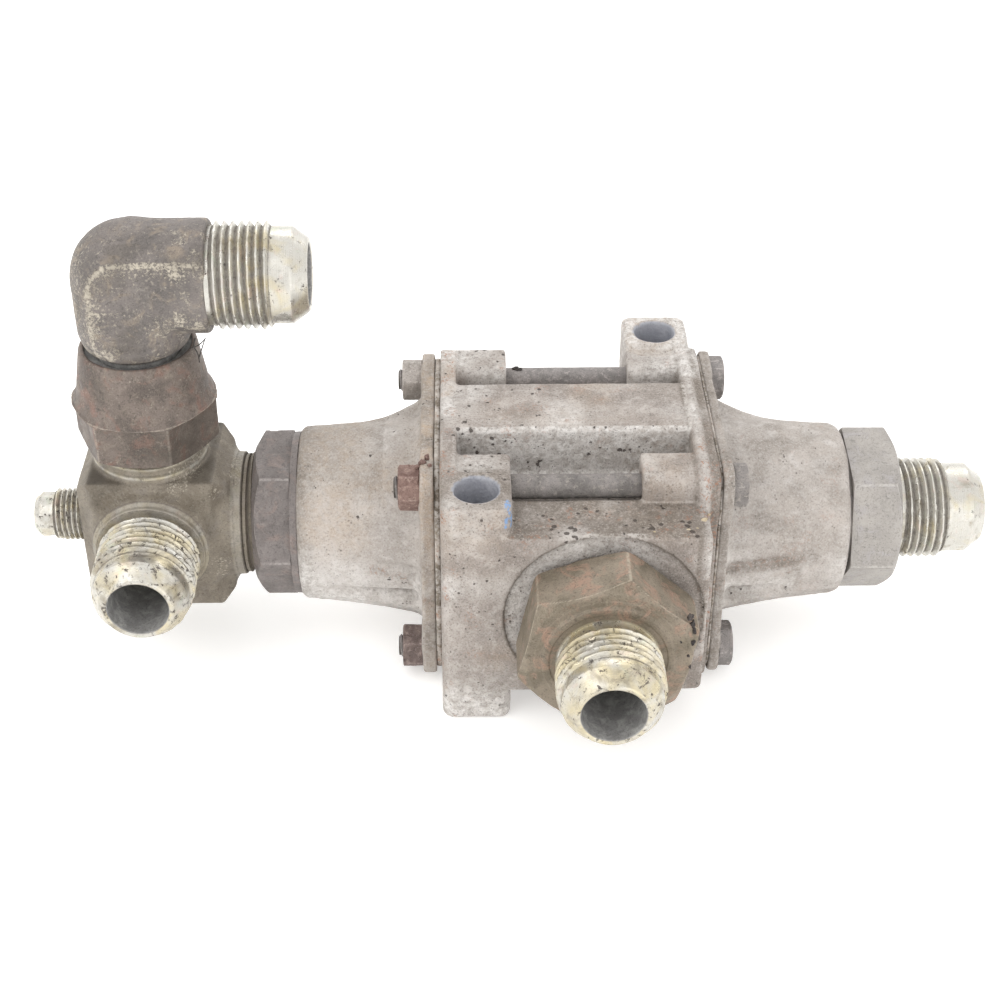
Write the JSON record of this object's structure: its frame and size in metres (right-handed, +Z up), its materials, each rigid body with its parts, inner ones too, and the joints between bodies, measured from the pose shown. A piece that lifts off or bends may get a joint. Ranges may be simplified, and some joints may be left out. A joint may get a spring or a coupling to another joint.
{
  "type": "multiport valve",
  "caption": "Cast shuttle-type multiport line valve with bolted end caps, threaded flare ports, a cross fitting and a swivel elbow.",
  "frame": {"origin": "middle of the two vertical mounting holes, on the plane of the column feet", "axes": "+X along the shuttle bore towards the single right-hand port, +Y away from the front port, +Z up along the mounting holes"},
  "size_m": [0.2588, 0.132, 0.1227],
  "materials": {
    "cast_body": "weathered sand casting, pitted, machined faces dull",
    "cast_cap": "weathered casting with pale corrosion bloom",
    "gasket": "dark compressed fibre, oily",
    "seat_bronze": "turned",
    "shuttle_steel": "ground",
    "seal_plastic": "moulded",
    "spring_steel": "drawn wire",
    "seal_rubber": "black elastomer",
    "dark_bolt_steel": "aged dark steel",
    "rusty_nut_steel": "rusted",
    "grey_hex_steel": "matte, oxidised",
    "yellow_zinc_steel": "worn yellow zinc plating",
    "olive_zinc_steel": "worn olive zinc plating over a forging",
    "brown_forged_steel": "brown patina",
    "dark_forged_steel": "dark mottled forging, worn edges",
    "wire_steel": "drawn wire"
  },
  "bodies": {
    "housing": {"valve_body": "cast_body", "left_end_cap": "cast_cap", "right_end_cap": "cast_cap", "left_gasket": "gasket", "right_gasket": "gasket", "left_seat_ring": "seat_bronze", "right_seat_ring": "seat_bronze", "left_spring": "spring_steel", "right_spring": "spring_steel", "left_port_oring": "seal_rubber", "right_port_oring": "seal_rubber", "front_port_oring": "seal_rubber", "tie_bolt_front_top": "dark_bolt_steel", "tie_bolt_front_bottom": "dark_bolt_steel", "tie_bolt_back_top": "dark_bolt_steel", "tie_bolt_back_bottom": "dark_bolt_steel", "tie_nut_front_top": "rusty_nut_steel", "tie_nut_front_bottom": "rusty_nut_steel", "tie_nut_back_top": "rusty_nut_steel", "tie_nut_back_bottom": "rusty_nut_steel", "left_adapter": "grey_hex_steel", "right_adapter": "grey_hex_steel", "left_port_washer": "grey_hex_steel", "front_adapter": "yellow_zinc_steel", "cross_fitting": "olive_zinc_steel"},
    "shuttle": {"shuttle_spool": "shuttle_steel", "left_seal_disc": "seal_plastic", "right_seal_disc": "seal_plastic", "left_disc_retainer": "shuttle_steel", "right_disc_retainer": "shuttle_steel", "left_spring_plate": "shuttle_steel", "right_spring_plate": "shuttle_steel"},
    "elbow": {"elbow_fitting": "dark_forged_steel", "nut_retaining_wire": "wire_steel"},
    "nut": {"swivel_nut": "brown_forged_steel"}
  },
  "joints": [
    {"name": "shuttle_slide", "type": "slide", "parent": "housing", "child": "shuttle", "axis": [1, 0, 0], "range_m": [-0.006, 0.006], "stiffness_N_per_m": 1500, "deforming": ["left_spring", "right_spring"]},
    {"name": "elbow_swivel", "type": "hinge", "parent": "housing", "child": "elbow", "pos_m": [-0.1125, 0, 0.1079], "axis": [0, 0, 1], "continuous": true},
    {"name": "nut_spin", "type": "hinge", "parent": "elbow", "child": "nut", "pos_m": [-0.1125, 0, 0.0742], "axis": [0, 0, 1], "continuous": true}
  ]
}
